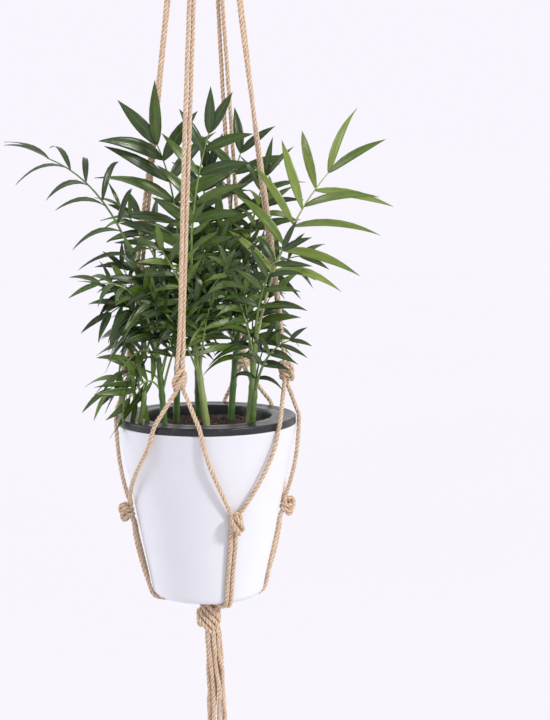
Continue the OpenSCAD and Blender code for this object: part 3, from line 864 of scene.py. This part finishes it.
build = Build()
r0, r1, rf = MOUTH_D / 2, LINER_BASE_D / 2, FLANGE_D / 2
z = RIM_Z
low = z - LINER_DEPTH + LINER_WALL
liner = [(0, z - LINER_DEPTH), (r1 - 2, z - LINER_DEPTH), (r1 + LINER_WALL, low)]
liner += [(mix(r1, r0, t) + LINER_WALL, mix(low, z - PLATE - 2, t)) for t in np.linspace(0.08, 1, 8)]
liner += [(r0 + LINER_WALL + 2, z - PLATE), (rf - PLATE - 0.3, z - PLATE)]
liner += [(rf - PLATE, z - PLATE - 0.4), (rf - PLATE, z - FLANGE_H)]
liner += arc(rf - 0.5, z - FLANGE_H + 0.5, 0.5, -90, 0, 4) + arc(rf - 1.4, z - 1.4, 1.4, 0, 90, 6)
inwards = np.linspace(0.02, 0.98, 12)
liner += [(mix(rf - 1.6, r0 + 3.2, t), z - 0.9 * math.sin(math.pi * t) ** 2) for t in inwards]
liner += arc(r0 + 1.6, z - 1.6, 1.6, 100, 172, 6)
liner += [(mix(r0, r1, t), mix(z - 3, low, t)) for t in np.linspace(0.02, 1, 14)]
liner += [(20, low), (0, low)]
add_lathe(build, liner, 192)
piece(build, "liner_shell", [LINER], "hanger", ["liner_pot"])


def liner_r_at(z):
    return mix(MOUTH_D / 2, LINER_BASE_D / 2, (-1 - z) / (LINER_DEPTH - LINER_WALL - 1))


def crumbs(x, y):
    """Height of the soil's crumbs, and the mound round the canes."""
    p = Vector((x, y, 0))
    lumps = noise.fractal(p * 0.16, 1.0, 2.0, 4) * 1.5 + noise.noise(p * 0.75) * 0.55
    lumps += abs(noise.noise(p * 0.38)) * 1.3
    return lumps - 0.6 + 5.0 * math.exp(-(x * x + y * y) / 1100)


build = Build()
surface = liner_r_at(-SOIL_DEPTH) - 0.5
rings, around = 46, 168
v = [vec(0, 0, RIM_Z - SOIL_DEPTH + crumbs(0, 0))]
for k in range(1, rings + 1):
    for m in range(around):
        a, r = 2 * math.pi * m / around, surface * k / rings
        x, y = r * math.cos(a), r * math.sin(a)
        v.append(vec(x, y, RIM_Z - SOIL_DEPTH + crumbs(x, y) * (1 - 0.4 * (k / rings) ** 6)))
depths = [(-SOIL_DEPTH - 3, 0.4), (-45, 0.4), (-80, 0.4), (-LINER_DEPTH + LINER_WALL + 0.4, 0.4)]
for zz, g in depths:
    for m in range(around):
        v.append(polar(360 * m / around, liner_r_at(zz) - g, RIM_Z + zz))
v.append(vec(0, 0, RIM_Z - LINER_DEPTH + LINER_WALL + 0.4))
v = np.array(v)
faces = [(0, 1 + m, 1 + (m + 1) % around) for m in range(around)]
total = rings + len(depths)
for k in range(total - 1):
    p, q = 1 + k * around, 1 + (k + 1) * around
    faces += [(p + m, q + m, q + (m + 1) % around, p + (m + 1) % around) for m in range(around)]
end = 1 + (total - 1) * around
faces += [(end + m, len(v) - 1, end + (m + 1) % around) for m in range(around)]
build.add(v, faces, v.copy(), 0.0)
bits = np.random.default_rng(5)
for _ in range(150):
    r, a = surface * math.sqrt(bits.uniform(0.02, 0.9)), bits.uniform(0, 360)
    c = polar(a, r)
    c[2] = RIM_Z - SOIL_DEPTH + crumbs(c[0], c[1]) + 0.2
    length, wide, _ = bits.uniform(1.6, 5.5), bits.uniform(0.9, 2.4), bits.uniform(0.5, 1.3)
    d = unit(vec(bits.normal(), bits.normal(), bits.normal() * 0.35))
    line = np.array([c + d * length * (t - 0.5) for t in np.linspace(0, 1, 5)])
    swell = np.array([0.45, 0.9, 1, 0.85, 0.4]) * wide / 2 * bits.uniform(0.8, 1.2, 5)
    add_tube(build, line, swell, 6, 0.0, 0, bits.uniform(0, 90))
piece(build, "soil_crumbs", [SOIL], "hanger", ["soil"])

# ---- Palm ----
FRONT, UPWARD = (0, -0.9, 0.45), (0, -0.55, 0.85)
# Each seedling: base, cane top, tone of its cane, and its fronds. Each frond: bend, tip, facing,
# leaflet length, pairs and droop, then its tone and, where it isn't 1, its leaflets' breadth.
SEEDLINGS = [
    [(36, -14), (43, -20, 66), 0.72, [
        [(60, -42, 164), (106, -48, 216), (-0.2, -0.85, 0.5), 84, 6, 0.2, 0.80, 0.8],
        [(42, -42, 116), (66, -54, 150), FRONT, 40, 5, 0.15, 0.35]]],
    [(2, -22), (-12, -18, 80), 0.86, [
        [(-18, -20, 180), (4, -28, 250), FRONT, 54, 6, 0.1, 0.42, 1.35],
        [(-16, -36, 116), (-38, -42, 150), FRONT, 40, 5, 0.15, 0.50],
        [(-4, -34, 108), (16, -42, 130), FRONT, 36, 4, 0.15, 0.42]]],
    [(-36, -20), (-42, -20, 54), 0.45, [
        [(-62, -32, 200), (-134, -38, 228), UPWARD, 66, 6, 0.35, 0.20, 0.75],
        [(-52, -40, 126), (-90, -54, 122), UPWARD, 42, 5, 0.3, 0.55],
        [(-56, -30, 74), (-74, -36, 44), FRONT, 32, 4, 0.2, 0.42]]],
    [(-28, 6), (-24, 4, 92), 0.40, [
        [(-18, 0, 186), (-42, -2, 240), FRONT, 76, 6, 0.15, 0.34, 1.3],
        [(-50, -4, 118), (-84, -8, 92), FRONT, 40, 5, 0.2, 0.22]]],
    [(-8, 26), (-8, 22, 80), 0.45, [
        [(-8, 30, 160), (2, 34, 214), FRONT, 54, 6, 0.15, 0.25, 1.15],
        [(-30, 34, 140), (-60, 46, 172), FRONT, 46, 5, 0.15, 0.18],
        [(4, 30, 112), (26, 34, 138), FRONT, 40, 4, 0.15, 0.25]]],
    [(20, 8), (30, 8, 100), 0.50, [
        [(38, 10, 170), (54, 8, 212), FRONT, 50, 5, 0.15, 0.35],
        [(50, 14, 136), (84, 12, 140), FRONT, 38, 5, 0.25, 0.30],
        [(14, 14, 180), (32, 18, 232), FRONT, 58, 5, 0.15, 0.28, 1.2]]],
    [(38, -30), (42, -36, 26), 0.55, [
        [(48, -44, 64), (72, -52, 72), FRONT, 30, 4, 0.15, 0.30]]],
]
ALONG = np.array([0, 0.05, 0.14, 0.26, 0.40, 0.55, 0.69, 0.81, 0.91, 1.0])
WIDE = np.array([0.16, 0.42, 0.74, 0.95, 1.0, 0.91, 0.70, 0.46, 0.23, 0.02])
ACROSS = np.array([-1, -0.5, 0, 0.5, 1.0])


def blade_faces():
    n, c = len(ALONG), len(ACROSS)
    top = lambda i, j: i * c + j
    low = lambda i, j: n * c + i * c + j
    f = []
    for i in range(n - 1):
        for j in range(c - 1):
            f.append((top(i, j), top(i, j + 1), top(i + 1, j + 1), top(i + 1, j)))
            f.append((low(i, j), low(i + 1, j), low(i + 1, j + 1), low(i, j + 1)))
        f.append((top(i, 0), top(i + 1, 0), low(i + 1, 0), low(i, 0)))
        f.append((top(i, c - 1), low(i, c - 1), low(i + 1, c - 1), top(i + 1, c - 1)))
    for j in range(c - 1):
        f.append((top(0, j), low(0, j), low(0, j + 1), top(0, j + 1)))
        f.append((top(n - 1, j), top(n - 1, j + 1), low(n - 1, j + 1), low(n - 1, j)))
    return f


BLADE = blade_faces()


def add_leaflet(build, p, d, n, length, width, droop, tone, rnd):
    """A pointed leaflet, folded a little along its midrib, that bends down and to one side."""
    w = unit(np.cross(d, n))
    up = np.cross(w, d)
    a = ALONG[:, None]
    side, twist = rnd.uniform(-0.14, 0.14), rnd.uniform(-0.9, 0.9)
    fall = w * length * side * a**2 - vec(0, 0, 1) * droop * length * a**2
    c = p + d * length * a * (1 - 0.3 * droop * a) + fall
    c = c + up * length * 0.05 * np.sin(math.pi * a)
    along = np.gradient(c, axis=0)
    along /= np.linalg.norm(along, axis=1)[:, None]
    ww = w[None] * np.cos(twist * a) + up[None] * np.sin(twist * a)
    ww = ww - along * np.sum(ww * along, axis=1)[:, None]
    ww /= np.linalg.norm(ww, axis=1)[:, None]
    uu = np.cross(ww, along)
    half = width / 2 * WIDE
    fold = 0.24 + 0.1 * rnd.uniform(-1, 1)
    lift = fold * half[:, None] * np.abs(ACROSS)[None, :]
    lift = lift + 0.003 * length * np.sin(9 * a + 5 * ACROSS[None, :])
    out = (half[:, None] * ACROSS[None, :])[..., None] * ww[:, None]
    mid = c[:, None] + out + lift[..., None] * uu[:, None]
    thick = 0.20 * (1 - 0.55 * np.abs(ACROSS))[None, :] * (1 - 0.4 * ALONG)[:, None]
    skin = thick[..., None] * uu[:, None]
    v = np.concatenate([(mid + skin).reshape(-1, 3), (mid - skin).reshape(-1, 3)])
    g = np.broadcast_arrays(ALONG[:, None], ACROSS[None, :], np.array(rnd.uniform(0, 20)))
    g = np.stack(g, -1).reshape(-1, 3)
    shade = np.full(len(g), tone + rnd.uniform(-0.16, 0.14))
    build.add(v, BLADE, np.vstack([g, g]), np.concatenate([shade, shade + 0.08]), 0)


def add_frond(build, start, f, rnd, stalk=(1.45, 0.5)):
    """A stalk from the start over its bend to its tip, with leaflets in pairs along it."""
    bend, tip, facing, size, pairs, droop, tone = f[:7]
    breadth = f[7] if len(f) > 7 else 1.0
    bend, tip, facing = vec(*bend), vec(*tip), vec(*facing)
    line = np.array([bezier(start, bend, tip, t) for t in np.linspace(0, 1, 17)])
    add_tube(build, line, np.linspace(stalk[0], stalk[1], 17), 8, min(1, tone + 0.28), 1, rnd.uniform(0, 50))
    for k in range(pairs):
        for s in (-1, 1):
            u, last = k / (pairs - 1), k == pairs - 1
            t = mix(BARE_SHARE, 0.99, u) + (rnd.uniform(-0.02, 0.02) if 0 < k < pairs - 1 else 0)
            p = bezier(start, bend, tip, t)
            along = unit(p - bezier(start, bend, tip, t - 0.05))
            across = unit(np.cross(along, facing))
            angle = math.radians((20 if last else mix(68, 44, u)) + rnd.uniform(-8, 8))
            share = 0.72 + 0.28 * math.sin(math.pi * min(1, u * 0.8 + 0.15))
            length = size * share * rnd.uniform(0.92, 1.05)
            usual = breadth * LEAFLET_W * size / 84 * mix(1.15, 0.92, ease(36, 70, size))
            width = usual * rnd.uniform(0.85, 1.08)
            lean = facing * rnd.uniform(-0.22, 0.30)
            d = unit(along * math.cos(angle) + s * across * math.sin(angle) + lean)
            hang = droop * rnd.uniform(0.7, 1.3) * (0.4 if last else 1)
            add_leaflet(build, p, d, unit(facing), length, width, hang, tone, rnd)


def extra_fronds(top, base, rnd, count, hanging):
    """Small inner fronds: most stand up and fan out, and a few hang over the rim."""
    out = []
    for k in range(count + hanging):
        low = k >= count
        start = mix(base, top, rnd.uniform(0.55, 1.0))
        az, reach, rise = rnd.uniform(-180, 180), rnd.uniform(10, 44), rnd.uniform(44, 98)
        if low:
            az, reach, rise = rnd.uniform(165, 235), rnd.uniform(26, 44), rnd.uniform(-26, 6)
        tip = start + polar(az, reach) * vec(1.15, 0.6, 0) + vec(-3, -3, rise)
        tip = vec(min(max(tip[0], -84), 56), min(max(tip[1], -44), 46), max(tip[2], 20))
        bend = mix(start, tip, 0.5) + vec(0, 0, 26 if low else 12) - polar(az, 5)
        face = unit(vec(rnd.uniform(-0.9, 0.9), -0.75, rnd.uniform(-0.1, 0.8)))
        size = rnd.uniform(28, 56)
        pairs, droop = int(rnd.integers(4, 7)), rnd.uniform(0.10, 0.55)
        tone, breadth = rnd.uniform(0.0, 0.62), rnd.uniform(0.7, 1.1)
        out.append((start, [bend, tip, face, size, pairs, droop, tone, breadth]))
    return out


# How many small fronds each seedling has, standing and hanging
EXTRA, HANGING = [5, 8, 8, 8, 9, 7, 1], [0, 0, 3, 1, 0, 0, 0]
for i, (base, top, tone, fronds) in enumerate(SEEDLINGS):
    rnd = np.random.default_rng(100 + i)
    build = Build()
    base, top = vec(*base, -SOIL_DEPTH - CANE_SUNK), vec(*top)
    middle = mix(base, top, 0.5) + vec(0, 0, 2)
    line = smooth([base, middle, top], 2.0)
    s = np.linspace(0, 1, len(line))
    radius = CANE_D / 2 * mix(1, 0.7, s)
    for at in np.arange(0.22, 0.98, 0.17):
        radius = radius + 0.42 * np.exp(-(((s - at) * len(line) * 2) ** 2) / 5.0)
    add_tube(build, line, radius, 14, tone, 1, 7.0 * i)
    for f in fronds:
        add_frond(build, top - vec(0, 0, 2), f, rnd)
    for start, f in extra_fronds(top, base, rnd, EXTRA[i], HANGING[i]):
        add_frond(build, start, f, rnd, (1.1, 0.4))
    build.v = [v + vec(0, 0, RIM_Z) for v in build.v]
    piece(build, f"palm_{i + 1}", [LEAF, CANE], "hanger", [f"palm_seedling_{i + 1}"])

# ---- Floor, light ----
build = Build()
FLOOR_Z, FLOOR_SIDES = -1200, 48
rows = [vec(0, 0, FLOOR_Z)[None]]
for r in (600, 3000, 12000, 60000):
    rows.append(np.array([polar(360 / FLOOR_SIDES * k, r, FLOOR_Z) for k in range(FLOOR_SIDES)]))
faces = [(0, 1 + k, 1 + (k + 1) % FLOOR_SIDES) for k in range(FLOOR_SIDES)]
for i in range(3):
    p, q, n = 1 + FLOOR_SIDES * i, 1 + FLOOR_SIDES * (i + 1), FLOOR_SIDES
    faces += [(p + k, q + k, q + (k + 1) % n, p + (k + 1) % n) for k in range(n)]
v = np.vstack(rows)
build.add(v, faces, v.copy(), 0.0)
floor = build.make("floor", [floor_material()])


def sun(name, come_from, strength, angle, colour):
    data = bpy.data.lights.new(name, "SUN")
    data.energy, data.angle, data.color = strength, math.radians(angle), colour
    lamp = bpy.data.objects.new(name, data)
    bpy.context.scene.collection.objects.link(lamp)
    lamp.rotation_mode = "QUATERNION"
    lamp.rotation_quaternion = (-Vector(come_from)).to_track_quat("-Z", "Y")


sun("key", (0.72, -0.60, 0.52), 1.75, 9, (1.0, 0.975, 0.94))
sun("edge", (-0.95, 0.12, 0.35), 0.95, 25, (0.97, 0.98, 1.0))

world = bpy.data.worlds.new("studio")
bpy.context.scene.world = world
world.use_nodes = True
t = world.node_tree
t.nodes.clear()
seen = node(t, "Background", {"Color": (0.945, 0.915, 0.99, 1), "Strength": 1.0})
towards = node(t, "SeparateXYZ", {0: node(t, "TexCoord").outputs["Generated"]}).outputs[1]
front = ramp(t, maths(t, "ADD", maths(t, "MULTIPLY", towards, 0.5), 0.5), [(0.1, 0.58), (0.75, 1.12)])
light = node(t, "Background", {"Color": front, "Strength": 0.95})
camera_ray = node(t, "LightPath").outputs["Is Camera Ray"]
either = node(t, "MixShader", {0: camera_ray, 1: light.outputs[0], 2: seen.outputs[0]})
t.links.new(either.outputs[0], node(t, "OutputWorld").inputs[0])
bpy.context.scene.view_settings.view_transform = "Standard"

bpy.context.view_layer.update()
